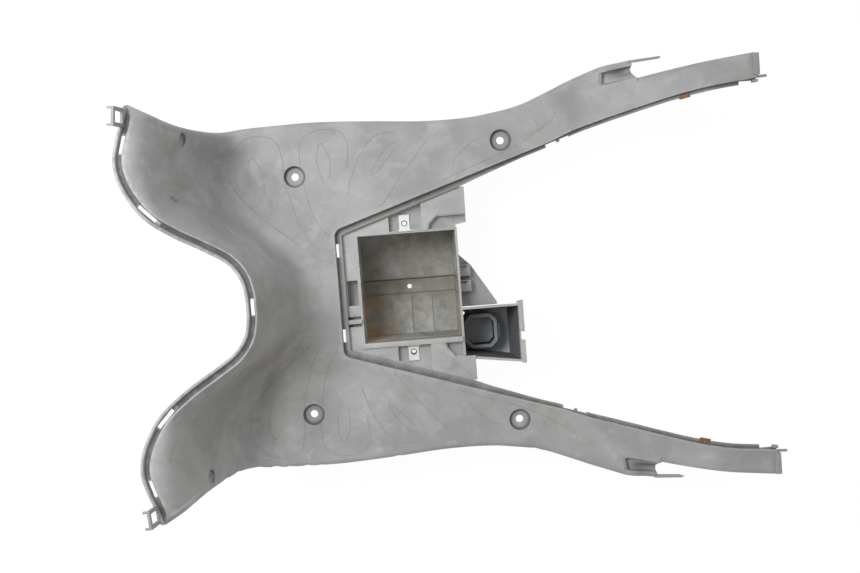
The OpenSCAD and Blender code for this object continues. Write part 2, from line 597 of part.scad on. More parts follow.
// Ribs under the floor between the recess lip and the skirt
rib_t = 2;
rib_drop = 12;
module floor_ribs() {
    both_sides() for (x = [70, 132, 196])
        bar(x, x + rib_t, recess_y(x) + 0.6, x > 180 ? 194 : x > 100 ? 197 : 201, -rib_drop - 1.2, -1.2);
}

module floorboard() {
    color([0.42, 0.42, 0.42]) difference() {
        union() {
            loft(concat(left_half, right_half));
            both_sides() loft([for (s = arm) section(s)]);
            battery_box();
            lead_box();
            rear_web();
            recess_floor();
            bolt_bosses();
            side_cups();
            wing_lugs();
            fingers();
            arm_ends();
            floor_ribs();
        }
        bolt_holes();
        side_holes();
        rim_slots();
        ledge_slots();
    }
}

// Black rubber sleeve that stands on the floor of the small box
boot_x = 210.5;
boot_y = -62.5;
function eight(l, w, c) = [[-l, -w + c], [-l, w - c], [-l + c, w], [l - c, w], [l, w - c], [l, -w + c],
                           [l - c, -w], [-l + c, -w]];
module socket_boot() {
    color([0.08, 0.08, 0.08]) translate([boot_x, boot_y, lead_z]) difference() {
        union() {
            linear_extrude(boot_h) polygon(eight(boot_w / 2 - 1, boot_w / 2, 8));
            translate([0, 0, boot_h - 5]) linear_extrude(3) polygon(eight(boot_w / 2 + 0.2, boot_w / 2 + 1.2, 8));
            bar(boot_w / 2 - 2, boot_w / 2 + 2.5, -9, 9, boot_h - 12, boot_h - 2);
            bar(-boot_w / 2 - 1.6, -boot_w / 2 + 2, -5, 5, boot_h - 12, boot_h - 2);
        }
        translate([0, 0, -1]) linear_extrude(boot_h + 2) polygon(eight(boot_w / 2 - 1 - boot_wall, boot_w / 2 - boot_wall, 6));
    }
}

// Clip nut: a strip of sheet folded over an edge, with a threaded collar. The fold lies along Y at the origin
// and the edge it holds is 'grip' thick, with its top face at z = 0.
module clip_nut(long, short, grip, room, reach, w = clip_w, bore_d = clip_bore_d) {
    low = -grip - room;
    difference() {
        union() {
            bar(-w / 2, w / 2, 0, long, room, room + clip_t);
            bar(-w / 2, w / 2, 0, short, low - clip_t, low);
            bar(-w / 2, w / 2, -clip_t, 0.01, low - clip_t, room + clip_t);
            translate([0, reach, low - clip_t - 4]) cylinder(d = bore_d + 1.4, h = 4.2);
        }
        translate([0, reach, low - 10]) cylinder(d = bore_d, h = 20);
    }
}
module recess_clip_nut(side) {
    color([0.75, 0.75, 0.72]) mirror([0, side < 0 ? 1 : 0, 0])
        translate([clip_x, wall_out(side) + slot_w - fit, clip_z]) clip_nut(clip_l, clip_l - 3, pad_t, fit, clip_reach);
}
module clip_nut_right() {
    recess_clip_nut(1);
}
module clip_nut_left() {
    recess_clip_nut(-1);
}

// Short clip nuts on the inner ledge of each arm, a little behind its second key
arm_clip_w = 11.5;
arm_clip_room = 0.3;
function ledge_edge(s) =
    let (p = inner_of(s) + in_of(s) * arm_ledge) [p.x, p.y, height(s[0], s[1]) - ledge_drop];
module arm_clip_nut() {
    a = ledge_edge(arm[2]);
    b = ledge_edge(arm[3]);
    run = b - a;
    at = mix(a, b, 0.56);
    color([0.45, 0.27, 0.15]) translate(at)
        rotate([0, -atan2(run.z, norm([run.x, run.y])), atan2(run.y, run.x)])
            translate([0, -arm_clip_room, 0])
                clip_nut(arm_ledge - 0.9, arm_ledge, arm_lip, arm_clip_room, arm_ledge * 0.48, arm_clip_w, 2.6);
}
module arm_clip_nut_right() {
    arm_clip_nut();
}
module arm_clip_nut_left() {
    mirror([0, 1, 0]) arm_clip_nut();
}

// Lifts a node from the floor's own level to the seats of the bolts' collars
module seated() {
    translate([0, 0, collar_depth]) children();
}

seated() floorboard();
seated() socket_boot();
seated() clip_nut_right();
seated() clip_nut_left();
seated() arm_clip_nut_right();
seated() arm_clip_nut_left();
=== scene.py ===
"""Looks of the scooter floorboard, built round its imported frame.

The shell is worked out again from the key stations of the part, much finer, with its edges rounded and
its tread lines cut in. Lengths in the functions are millimetres and become metres in mesh_of()."""
import math

import bmesh
import bpy
import numpy as np
from mathutils import Matrix, Vector


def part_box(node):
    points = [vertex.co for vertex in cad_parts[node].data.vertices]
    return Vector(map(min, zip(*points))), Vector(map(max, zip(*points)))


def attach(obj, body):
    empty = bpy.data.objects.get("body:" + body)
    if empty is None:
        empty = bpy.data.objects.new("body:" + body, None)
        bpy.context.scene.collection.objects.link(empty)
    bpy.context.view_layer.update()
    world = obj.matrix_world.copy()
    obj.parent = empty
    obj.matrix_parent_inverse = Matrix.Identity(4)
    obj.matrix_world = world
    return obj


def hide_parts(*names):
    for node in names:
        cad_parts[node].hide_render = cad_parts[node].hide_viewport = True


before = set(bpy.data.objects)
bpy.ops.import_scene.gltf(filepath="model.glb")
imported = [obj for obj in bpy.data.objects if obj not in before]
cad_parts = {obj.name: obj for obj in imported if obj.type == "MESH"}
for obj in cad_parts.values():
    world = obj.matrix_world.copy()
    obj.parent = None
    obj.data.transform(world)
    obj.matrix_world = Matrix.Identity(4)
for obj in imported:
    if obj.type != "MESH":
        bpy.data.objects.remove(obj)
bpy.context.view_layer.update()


# The same named values as the solids, in millimetres
wall, skirt_drop, rim_mid_z, rim_wing_z, tip_z, scoop_depth, arm_rise = 2.8, 16, 118, 163, 150, 9, 78
recess_x, recess_half, ledge_drop, ledge_w, peg_pocket_depth = 41, 76.5, 7, 8.4, 9
lip, arm_ledge, arm_lip, arm_end_x, recess_slope, collar_depth = 8, 5, 3, 530, 0.327, 5.5


def ease(t):
    """Smooth step from 0 to 1, flat at both ends: 6t^5 - 15t^4 + 10t^3."""
    c = np.clip(t, 0, 1)
    return c ** 3 * (c * (6 * c - 15) + 10)


def smooth(t):
    """Smooth step 3t^2 - 2t^3."""
    c = np.clip(t, 0, 1)
    return c * c * (3 - 2 * c)


def mix(a, b, t):
    return a + (b - a) * t


def recess_y(x):
    return recess_half + (x - recess_x - 3) * recess_slope


def through(v, table):
    """Cubic curve through the points of a table: slopes come from each point's neighbours."""
    t = np.array(table, float)
    x, y = t[:, 0], t[:, 1]
    m = np.gradient(y, x)
    v = np.clip(v, x[0], x[-1])
    i = np.clip(np.searchsorted(x, v, side="right") - 1, 0, len(x) - 2)
    h = x[i + 1] - x[i]
    s = (v - x[i]) / h
    return ((2 * s ** 3 - 3 * s ** 2 + 1) * y[i] + (s ** 3 - 2 * s ** 2 + s) * h * m[i]
            + (3 * s ** 2 - 2 * s ** 3) * y[i + 1] + (s ** 3 - s ** 2) * h * m[i + 1])


top_plan = [[0, -40.1], [19.8, -42.2], [39.5, -51.5], [59.2, -72.1], [78.6, -105.6],
            [93.2, -126], [107.8, -139.5], [122.4, -149.2], [137, -155.8], [151.6, -159.7], [166.3, -160.1],
             [195.7, -158.1], [240, -157.3]]
foot_plan = [[0, 12], [20, 11], [40, 5], [60, -12], [80, -34], [100, -48], [120, -56],
             [140, -60], [170, -61], [200, -57], [240, -54]]
rim_z_plan = [[0, rim_mid_z], [25, rim_mid_z + 2], [45, mix(rim_mid_z, rim_wing_z, 0.2)],
              [70, mix(rim_mid_z, rim_wing_z, 0.62)], [95, mix(rim_mid_z, rim_wing_z, 0.93)],
              [120, rim_wing_z], [170, rim_wing_z], [200, mix(rim_wing_z, tip_z, 0.5)],
              [229, tip_z], [240, tip_z - 2]]
steep_plan = [[0, 0.72], [40, 0.74], [90, 0.9], [140, 1], [240, 1]]
wing_edge_plan = [[-153.7, 224.2], [-137.4, 214.2], [-127.1, 207.6], [-115.7, 201.9],
                  [-103.8, 198.2], [-91.7, 198.1], [-79.6, 199.7], [-57.9, 202.4], [-38.5, 203.7], [0.5, 204.3]]


def height(x, y):
    """Height of the top face: the front wall climbs by the smooth step from its foot line to the rim line,
    the inner face of a wing sinks under its outer band, and the arm climbs by a smooth step along x."""
    h = np.abs(y)
    foot, top, k = through(h, foot_plan), through(h, top_plan), through(h, steep_plan)
    rise = through(h, rim_z_plan) * ease(k * (foot - x) / (foot - top)) / ease(k)
    scoop = -scoop_depth * ease((through(x, wing_edge_plan) - h - 8) / 34) * ease((-30 - x) / 50) * (
        1 - ease((-105 - x) / 40))
    arm = arm_rise * smooth((x - 332) / 156)
    drop = -24 * ease((x - 366) / 42) * ease((h - 224.5 - (x - 405) * 0.1) / 14)
    return rise + scoop + arm + drop


def normal(x, y):
    d = 0.8
    gx = (height(x + d, y) - height(x - d, y)) / (2 * d)
    gy = (height(x, y + d) - height(x, y - d)) / (2 * d)
    n = np.stack([-gx, -gy, np.ones_like(gx)], -1)
    return n / np.linalg.norm(n, axis=-1, keepdims=True)


arm_x, recess_r = 405, 11
recess_turn = np.pi / 2 - np.arctan(recess_slope)
corner_centre = np.array([recess_x + recess_r, recess_y(recess_x + recess_r) - recess_r / np.sin(recess_turn)])


def corner_at(t):
    """Point of the recess's rounded corner, t from 0 at the front edge to 1 at the slanted one."""
    return corner_centre + recess_r * np.array([-np.cos(t * recess_turn), np.sin(t * recess_turn)])


def on_line(x):
    return [x, recess_y(x)]


def key(inner, middle, outer, rim, skirt, ledge, lip_h, pocket=0, turn=0, square=False):
    return [*inner, *middle, *outer, rim, skirt, ledge, lip_h, pocket, turn, 1 if square else 0]


FRONT_KEYS = np.array([
    key([recess_x, 0], [12, 0], [-52.4, 0], 1, 0, ledge_w, lip),
    key([recess_x, 12], [11, 14], [-53.4, 16.8], 1, 0, ledge_w, lip),
    key([recess_x, 24], [6, 28], [-58.3, 33.1], 1, 0, ledge_w, lip),
    key([recess_x, 35], [-3, 42], [-70.8, 49.3], 1, 0, ledge_w, lip),
    key([recess_x, 44], [-20, 57], [-93.4, 64.5], 1, 0, ledge_w, lip),
    key([recess_x, 51], [-36, 71], [-121, 82], 1, 0, ledge_w, lip),
    key([recess_x, 57], [-47, 86], [-144.2, 101.9], 1, 0, ledge_w, lip),
    key([recess_x, 62], [-54, 99], [-158.7, 123.3], 1, 0, ledge_w, lip),
    key(corner_at(0), [-58, 110], [-167.2, 143.7], 1, 0, ledge_w, lip),
    key(corner_at(0.25), [-61, 118], [-169.9, 163.2], 1, 0, ledge_w, lip),
    key(corner_at(0.5), [-63, 125], [-166.4, 181.9], 1, 0, ledge_w, lip),
    key(corner_at(0.75), [-64, 131], [-160.8, 202.5], 1, 0, ledge_w, lip),
    key(corner_at(1), [-65, 136], [-155.7, 220.2], 1, 0, ledge_w, lip, 0, -1),
    key(on_line(51), [-65, 141], [-152.3, 221.3], 0, 6, ledge_w, lip, 0, 1),
    key(on_line(55), [-65, 150], [-135.6, 212.2], 0, 7, ledge_w, lip),
    key(on_line(59), [-62, 161], [-113.1, 200.9], 0, 8, ledge_w, lip),
    key(on_line(66), [-53, 170], [-88.2, 198.5], 0, 9, ledge_w, lip),
    key(on_line(76), [-37, 176], [-59.9, 202.4], 0, skirt_drop * 0.7, ledge_w, lip),
    key(on_line(92), [-6, 175], [-23.9, 203.9], 0, skirt_drop, ledge_w, lip),
    key(on_line(118), [50, 168], [29.9, 204.6], 0, skirt_drop, ledge_w, lip),
    key(on_line(152), [108, 163], [94.1, 201.3], 0, skirt_drop, ledge_w, lip),
    key(on_line(186), [166, 162], [153.9, 197.1], 0, skirt_drop, ledge_w, lip),
    key(on_line(214), [212, 167], [204.2, 197.2], 0, skirt_drop, 7, arm_lip),
    key(on_line(240), [240, 172], [237.6, 200.9], 0, skirt_drop, 6, arm_lip),
    key(on_line(270), [270, 183], [271.1, 207.5], 0, skirt_drop, arm_ledge, arm_lip),
    key(on_line(302), [302, 198], [303.8, 220], 0, skirt_drop, arm_ledge, arm_lip),
    key([334, 173.5], [334, 211.5], [334, 232.5], 0, skirt_drop * 0.8, arm_ledge, arm_lip),
    key([363.7, 182], [363.7, 219.5], [363.7, 242.4], 0, skirt_drop * 0.6, arm_ledge, arm_lip),
    key([372, 184.2], [372, 220.8], [372, 244.3], 0, skirt_drop * 0.6, arm_ledge, arm_lip, 1),
    key([386, 187.6], [386, 222.2], [386, 246.8], 0, skirt_drop * 0.6, arm_ledge, arm_lip, 1),
    key([arm_x, 192], [arm_x, 224.6], [arm_x, 249.6], 0, skirt_drop * 0.6, arm_ledge, arm_lip, 1, 0, True)
])
ARM_KEYS = np.array([
    key([arm_x, 192], [arm_x, 217], [arm_x, 225.1], 0, skirt_drop, arm_ledge, arm_lip, 0, 0, True),
    key([440, 199.7], [440, 221.3], [440, 229.5], 0, skirt_drop * 1.2, arm_ledge, arm_lip),
    key([481, 206.4], [481, 226.2], [481, 234.4], 0, skirt_drop * 1.2, arm_ledge, arm_lip),
    key([arm_end_x, 211.6], [arm_end_x, 231.7], [arm_end_x, 240], 0, skirt_drop * 1.2, arm_ledge, arm_lip)
])


def away(p, q):
    t = q - p
    return np.array([t[1], -t[0]]) / np.linalg.norm(t)


def stations(K, pitch):
    """Smooth curve through the key stations, one station about every pitch mm of the outer edge: a cubic
    through four neighbours that runs straight into a corner. Each carries its two directions in plan."""
    n, full, out = len(K), [], []
    for i, k in enumerate(K):
        side = lambda a, b: -away(K[a][4:6], K[b][4:6])
        if k[12] > 0.5:
            o, e = np.array([0.0, 1.0]), np.array([0.0, -1.0])
        elif i == 0:
            o, e = np.array([-1.0, 0.0]), np.array([1.0, 0.0])
        else:
            e = away(K[i - 1][0:2], K[min(n - 1, i + 1)][0:2])
            if k[11] == 0:
                o = side(i - 1, min(n - 1, i + 1))
            else:
                a = side(i - 1, i) if k[11] < 0 else side(i - 2, i - 1)
                b = side(i + 1, i + 2) if k[11] < 0 else side(i, i + 1)
                o = (a + b) / np.linalg.norm(a + b)
                o = o / (o @ a)
        full.append(np.concatenate([k, o, e]))
    F = np.array(full)
    for i in range(n - 1):
        b, c = F[i], F[i + 1]
        if i > 0 and abs(b[11]) < 0.5:
            a = F[i - 1]
        elif b[12] > 0.5 or abs(b[11]) > 0.5:
            a = 2 * b - c
        else:
            a = c.copy()
            a[[1, 3, 5, 14, 16]] *= -1
        d = 2 * c - b if abs(c[11]) > 0.5 or i + 2 > n - 1 else F[i + 2]
        m = int(min(16, max(2, np.ceil(np.hypot(*(c - b)[4:6]) / pitch))))
        for f in np.arange(m) / m:
            q = 0.5 * (2 * b + (c - a) * f + (2 * a - 5 * b + 4 * c - d) * f * f + (3 * b - a - 3 * c + d) * f ** 3)
            q[[6, 10]] = np.clip(q[[6, 10]], 0, 1)
            out.append(q)
    out.append(F[-1])
    return np.array(out)


def rings(K, pitch=3.5, n_floor=16, n_side=30):
    """Closed sections of the shell: the top face from the ledge to the edge profile, and the under face one wall
    below it. A row's point in plan is a blend of the station's inner, middle and outer points."""
    out = []
    for s in stations(K, pitch):
        inner, middle, outer, od, idr = s[0:2], s[2:4], s[4:6], s[13:15], s[15:17]
        rim, h, lw, lh = s[6], max(s[7], 6.5), s[8], max(s[9], 2.9)
        last = outer - od * mix(7, 11, rim)
        v = np.linspace(0, 1, n_side + 1)[:, None]
        plan = np.vstack([mix(inner, middle, np.linspace(0, 1, n_floor + 1)[:-1, None]),
                          mix(middle, last, 1 - (1 - v) ** mix(1.35, 1.0, rim))])
        z = height(plan[:, 0], plan[:, 1])
        z[n_floor:] -= peg_pocket_depth * s[10] * ease((v[:, 0] - 0.02) / 0.16) * ease((1 - v[:, 0]) / 0.12)
        top = np.column_stack([plan, z])
        nrm = normal(plan[:, 0], plan[:, 1])
        down = np.column_stack([np.zeros((len(plan), 2)), wall / nrm[:, 2]])
        under = top - np.where(plan[:, :1] > 300, down, wall * nrm)
        under[-1] = mix(under[-1], np.array([*(outer + od * -10.4), z[-1] - 6.6]), rim)
        base_in, base_out = height(*inner), height(*last)
        rt = [(-10.2, 0.1), (-9.6, -0.2), (-9.1, -1.2), (-8.8, -2.9), (-8.2, -3.6), (-5.0, -3.6), (-4.3, -3.2),
              (-3.5, -1.2), (-2.9, 0.1), (-2.3, 0.6), (-0.5, 0.6), (0, 0.2)]
        st = [(-6.2, -0.05), (-5.2, -0.2), (-4.2, -0.45), (-3.2, -0.9), (-2.3, -1.6), (-1.5, -2.5), (-0.8, -3.7),
              (-0.35, -4.9), (0, -6), (0.1, -6 - (h - 6) * 0.15), (0.5, -6 - (h - 6) * 0.9), (0.45, -h)]
        ru = [(0, -6.2), (-0.4, -6.6), (-2.2, -6.6), (-4.6, -6.2), (-9.4, -6.2)]
        su = [(0.2, -h - 0.1), (0.9 - wall, -h - 0.1), (-wall, -6.2), (-wall - 0.9, -4.6), (-wall - 2.6, -0.5 - wall)]
        lt = [(lw, -ledge_drop - lh + 0.3), (lw, -ledge_drop - 0.5), (lw - 0.5, -ledge_drop), (1.4, -ledge_drop),
              (0.8, -ledge_drop + 0.6), (0.5, -1.2), (0.2, -0.4)]
        lu = [(-wall, -wall - 0.6), (-wall + 0.9, -ledge_drop - wall + 0.4), (lw - 2.2, -ledge_drop - wall + 0.35),
              (lw - 2.2, -ledge_drop - lh)]
        under_rows = under[1:]
        if rim > 0.5:
            under_rows[-3:-1] = mix(under_rows[-4], under_rows[-1], np.array([[0.34], [0.67]]))
        ring = [[*(inner + idr * e), base_in + w] for e, w in lt] + top.tolist()
        ring += [[*(outer + od * mix(p[0], q[0], rim)), base_out + mix(p[1], q[1], rim)]
                 for p, q in zip(st + su, rt + ru)]
        ring += under_rows[::-1].tolist() + [[*(inner + idr * e), base_in + w] for e, w in lu]
        out.append(ring)
    return np.array(out)


# ---------------------------------------------------------------- mesh helpers
MM = 0.001


def new_object(name, mesh, material_list):
    obj = bpy.data.objects.new(name, mesh)
    bpy.context.scene.collection.objects.link(obj)
    for m in material_list:
        mesh.materials.append(m)
    return obj


def smooth_by_angle(mesh, degrees):
    mesh.polygons.foreach_set("use_smooth", np.ones(len(mesh.polygons), bool))
    mesh.set_sharp_from_angle(angle=math.radians(degrees))


def mesh_of(name, points, faces):
    """A mesh in metres from points in millimetres over the floor's own level, and a list of faces."""
    mesh = bpy.data.meshes.new(name)
    mesh.from_pydata(((np.asarray(points) + [0, 0, collar_depth]) * MM).tolist(), [], faces)
    mesh.update()
    return mesh


def joined(parts):
    """Points and faces of several closed parts in one pair of lists."""
    points, faces, start = [], [], 0
    for p, f in parts:
        points.append(p)
        faces += [[i + start for i in face] for face in f]
        start += len(p)
    return np.vstack(points), faces


def loft(sections):
    """Skin of quads over a row of closed sections, with both ends closed between top and under faces."""
    m, n = sections.shape[:2]
    a = (np.arange(m - 1)[:, None] * n + np.arange(n)[None, :]).ravel()
    b = (np.arange(m - 1)[:, None] * n + (np.arange(n)[None, :] + 1) % n).ravel()
    faces = np.column_stack([a, a + n, b + n, b]).tolist()
    k = np.arange((n - 1) // 2)
    for o, flip in ((0, False), ((m - 1) * n, True)):
        quads = np.column_stack([o + k, o + k + 1, o + n - 2 - k, o + n - 1 - k])
        quads = quads[:, ::-1] if flip else quads
        faces += [list(dict.fromkeys(q)) for q in quads.tolist()]
    return sections.reshape(-1, 3), faces


def prism(low, z_low, high, z_high):
    """Closed block between a lower and an upper outline, listed the same way round."""
    n = len(low)
    points = np.vstack([np.column_stack([low, np.full(n, z_low)]), np.column_stack([high, np.full(n, z_high)])])
    area = np.sum(np.array(low)[:, 0] * np.roll(np.array(low)[:, 1], -1)
                  - np.roll(np.array(low)[:, 0], -1) * np.array(low)[:, 1])
    sides = [[i, (i + 1) % n, (i + 1) % n + n, i + n] for i in range(n)]
    faces = [list(range(n))[::-1], [i + n for i in range(n)]] + sides
    return points, faces if area > 0 else [f[::-1] for f in faces]


def box(x0, x1, y0, y1, z0, z1):
    outline = [[x0, y0], [x1, y0], [x1, y1], [x0, y1]]
    return prism(outline, z0, outline, z1)


def turned(profile, segments=40):
    """Closed solid of revolution about Z: the profile is radius and height, from the axis back to the axis."""
    p = np.array(profile, float)
    t = np.arange(segments) / segments * 2 * np.pi
    ring = p[1:-1]
    pts = np.stack([ring[:, None, 0] * np.cos(t), ring[:, None, 0] * np.sin(t),
                    np.repeat(ring[:, 1:2], segments, 1)], -1).reshape(-1, 3)
    m = len(ring)
    points = np.vstack([pts, [0, 0, p[0, 1]], [0, 0, p[-1, 1]]])
    faces = [[i * segments + j, i * segments + (j + 1) % segments, (i + 1) * segments + (j + 1) % segments,
              (i + 1) * segments + j] for i in range(m - 1) for j in range(segments)]
    lo, hi = len(pts), len(pts) + 1
    faces += [[lo, (j + 1) % segments, j] for j in range(segments)]
    faces += [[hi, (m - 1) * segments + j, (m - 1) * segments + (j + 1) % segments] for j in range(segments)]
    return points, faces


def placed(part, at, yaw=0.0, lean=0.0):
    """A part leaned about Y, then yawed about Z, both in radians, then moved."""
    cy, sy, cl, sl = math.cos(yaw), math.sin(yaw), math.cos(lean), math.sin(lean)
    turn = np.array([[cy, -sy, 0], [sy, cy, 0], [0, 0, 1]]) @ np.array([[cl, 0, sl], [0, 1, 0], [-sl, 0, cl]])
    return part[0] @ turn.T + np.array(at), part[1]


def other_side(part):
    """The same part mirrored to the left, with its faces turned back outwards."""
    return part[0] * [1, -1, 1], [f[::-1] for f in part[1]]


def both(parts):
    return list(parts) + [other_side(p) for p in parts]


def curve_through(points, step):
    """Cubic through the given plan points, one point about every step mm."""
    p = np.array(points, float)
    p = np.vstack([2 * p[0] - p[1], p, 2 * p[-1] - p[-2]])
    out = []
    for a, b, c, d in zip(p[:-3], p[1:-2], p[2:-1], p[3:]):
        f = np.arange(0, 1, step / max(step, np.hypot(*(c - b))))[:, None]
        out.append(0.5 * (2 * b + (c - a) * f + (2 * a - 5 * b + 4 * c - d) * f ** 2
                          + (3 * b - a - 3 * c + d) * f ** 3))
    return np.vstack(out + [p[-2:-1]])


def groove_tube(points, radius, lift):
    """Thin tube along a plan curve, lifted off the top face so that only its lowest part cuts a shallow line."""
    c = curve_through(points, 2.0)
    z = height(c[:, 0], c[:, 1])
    path = np.column_stack([c, z]) + lift * normal(c[:, 0], c[:, 1])
    n = normal(c[:, 0], c[:, 1])
    t = np.gradient(path, axis=0)
    t /= np.linalg.norm(t, axis=1)[:, None]
    side = np.cross(n, t)
    side /= np.linalg.norm(side, axis=1)[:, None]
    up = np.cross(t, side)
    r = np.full(len(path), radius)
    r[[0, -1]] = radius * 0.35
    a = np.arange(8) / 8 * 2 * np.pi
    turned_by = np.cos(a)[None, :, None] * side[:, None] + np.sin(a)[None, :, None] * up[:, None]
    ring = path[:, None] + r[:, None, None] * turned_by
    m = len(path)
    idx = np.arange(m - 1)[:, None] * 8
    k = np.arange(8)[None, :]
    faces = np.stack([idx + k, idx + (k + 1) % 8, idx + 8 + (k + 1) % 8, idx + 8 + k], -1).reshape(-1, 4).tolist()
    faces += [list(range(8))[::-1], [(m - 1) * 8 + i for i in range(8)]]
    return ring.reshape(-1, 3), faces


def applied(obj):
    """The object's mesh with its modifiers applied."""
    graph = bpy.context.evaluated_depsgraph_get()
    mesh = bpy.data.meshes.new_from_object(obj.evaluated_get(graph), preserve_all_data_layers=True, depsgraph=graph)
    obj.modifiers.clear()
    obj.data = mesh
    return obj


def cut(obj, cutter_parts, material=None):
    points, faces = joined(cutter_parts)
    tool = new_object("cutter", mesh_of("cutter", points, faces), [material] if material else [])
    m = obj.modifiers.new("cut", "BOOLEAN")
    m.operation, m.solver, m.object = "DIFFERENCE", "MANIFOLD", tool
    m.material_mode = "TRANSFER" if material else "INDEX"
    applied(obj)
    bpy.data.objects.remove(tool)


def eased(obj, width, degrees=35):
    """Small rounds on the sharp edges."""
    m = obj.modifiers.new("rounds", "BEVEL")
    m.width, m.segments, m.limit_method, m.angle_limit = width * MM, 2, "ANGLE", math.radians(degrees)
    m.use_clamp_overlap = True
    applied(obj)
    smooth_by_angle(obj.data, degrees)


# ---------------------------------------------------------------- material groups
def group_of(name, inputs, outputs):
    g = bpy.data.node_groups.new(name, "ShaderNodeTree")
    for label, kind, value in inputs:
        s = g.interface.new_socket(name=label, in_out="INPUT", socket_type=kind)
        s.default_value = value
    for label, kind in outputs:
        g.interface.new_socket(name=label, in_out="OUTPUT", socket_type=kind)
    return g, g.nodes.new("NodeGroupInput"), g.nodes.new("NodeGroupOutput")


def maker(tree):
    """Short calls that add and link nodes in a tree."""
    def put(socket, value):
        if isinstance(value, bpy.types.NodeSocket):
            tree.links.new(value, socket)
        elif value is not None:
            socket.default_value = value

    def noise(vector, scale, detail=3.0, rough=0.55, warp=0.0):
        n = tree.nodes.new("ShaderNodeTexNoise")
        for label, v in (("Vector", vector), ("Scale", scale), ("Detail", detail), ("Roughness", rough),
                         ("Distortion", warp)):
            put(n.inputs[label], v)
        return n.outputs["Fac"]

    def ramp(value, low, high, to_low=0.0, to_high=1.0):
        n = tree.nodes.new("ShaderNodeMapRange")
        n.interpolation_type = "SMOOTHSTEP"
        for i, v in enumerate((value, low, high, to_low, to_high)):
            put(n.inputs[i], v)
        return n.outputs[0]

    def math_(op, a, b=None):
        n = tree.nodes.new("ShaderNodeMath")
        n.operation = op
        put(n.inputs[0], a)
        put(n.inputs[1], b)
        return n.outputs[0]

    def blend(fac, a, b, how="MIX"):
        n = tree.nodes.new("ShaderNodeMix")
        n.data_type, n.blend_type, n.clamp_factor = "RGBA", how, True
        put(n.inputs[0], fac)
        put(n.inputs[6], a)
        put(n.inputs[7], b)
        return n.outputs[2]

    def stretched(vector, scale, turn=(0, 0, 0), at=(0, 0, 0)):
        n = tree.nodes.new("ShaderNodeMapping")
        n.inputs["Scale"].default_value, n.inputs["Rotation"].default_value = scale, turn
        n.inputs["Location"].default_value = at
        put(n.inputs["Vector"], vector)
        return n.outputs[0]

    def parts(vector):
        n = tree.nodes.new("ShaderNodeSeparateXYZ")
        put(n.inputs[0], vector)
        return n.outputs

    return noise, ramp, math_, blend, stretched, parts


def weathered_group():
    """Old moulded plastic: the colour drifts from dark to pale in large soft patches, with fine speckle,
    thin pale scratches, dust and rubbed edges, and a moulded grain for the height. Where the Crease shade
    input is set, the Dirt colour is multiplied in as painted shade."""
    g, i, o = group_of("weathered", [
        ("Vector", "NodeSocketVector", (0, 0, 0)), ("Colour", "NodeSocketColor", (0.3, 0.3, 0.3, 1)),
        ("Dark", "NodeSocketColor", (0.2, 0.2, 0.2, 1)), ("Pale", "NodeSocketColor", (0.5, 0.5, 0.5, 1)),
        ("Dirt", "NodeSocketColor", (0.2, 0.17, 0.12, 1)), ("Dirt share", "NodeSocketFloat", 0.2),
        ("Edge", "NodeSocketFloat", 0.0), ("Crease shade", "NodeSocketFloat", 0.0)],
        [("Colour", "NodeSocketColor"), ("Roughness", "NodeSocketFloat"), ("Height", "NodeSocketFloat")])
    noise, ramp, math_, blend, stretched, parts = maker(g)
    v = i.outputs["Vector"]
    patches = noise(v, 14.0, 4.0, 0.6, 0.4)
    cloud = noise(stretched(v, (1, 1, 1), at=(0.7, 0.2, 0.1)), 42.0, 5.0, 0.65, 0.6)
    speckle = noise(v, 900.0, 2.0, 0.7)
    colour = blend(ramp(patches, 0.36, 0.62, 0, 0.55), i.outputs["Colour"], i.outputs["Dark"])
    colour = blend(ramp(cloud, 0.5, 0.72, 0, 0.25), colour, i.outputs["Pale"])
    long_marks = noise(stretched(v, (30, 420, 60), turn=(0, 0, 0.35)), 1.0, 3.0, 0.5, 0.5)
    cross_marks = noise(stretched(v, (520, 24, 60), turn=(0, 0, -0.5)), 1.0, 3.0, 0.5, 0.4)
    marks = math_("MAXIMUM", ramp(long_marks, 0.67, 0.74), ramp(cross_marks, 0.69, 0.76))
    marks = math_("MULTIPLY", marks, ramp(noise(v, 23.0, 2.0), 0.42, 0.6))
    colour = blend(math_("MULTIPLY", marks, 0.2), colour, i.outputs["Pale"])
    dirt = ramp(noise(stretched(v, (1, 1, 0.6), at=(0.3, 0.9, 0.4)), 31.0, 6.0, 0.7, 0.8), 0.5, 0.7)
    colour = blend(math_("MULTIPLY", dirt, i.outputs["Dirt share"]), colour, i.outputs["Dirt"])
    colour = blend(ramp(speckle, 0.35, 0.75, 0, 0.16), colour, i.outputs["Dark"])
    worn = math_("MULTIPLY", i.outputs["Edge"], ramp(noise(v, 160.0, 4.0, 0.6), 0.3, 0.62))
    colour = blend(math_("MULTIPLY", worn, 0.55), colour, i.outputs["Pale"])
    # Painted shade: the colour is multiplied by the Dirt colour where the Crease shade input marks a crease
    crease_shade = math_("MULTIPLY", i.outputs["Crease shade"], ramp(noise(v, 90.0, 3.0), 0.25, 0.6, 0.5, 0.75))
    colour = blend(crease_shade, colour, i.outputs["Dirt"], "MULTIPLY")
    rough = math_("ADD", ramp(cloud, 0.3, 0.7, 0.5, 0.64), math_("MULTIPLY", dirt, 0.12))
    fine, coarse = noise(v, 700.0, 3.0, 0.6), noise(v, 120.0, 3.0)
    grain = math_("ADD", math_("MULTIPLY", fine, 0.6), math_("MULTIPLY", coarse, 0.4))
    grain = math_("SUBTRACT", grain, math_("MULTIPLY", marks, 0.35))
    for label, value in (("Colour", colour), ("Roughness", rough), ("Height", grain)):
        g.links.new(value, o.inputs[label])
    return g


def srgb(r, g, b):
    """Linear colour of a display colour from 0 to 255."""
    c = np.array([r, g, b]) / 255
    return (*np.where(c <= 0.04045, c / 12.92, ((c + 0.055) / 1.055) ** 2.4).tolist(), 1.0)


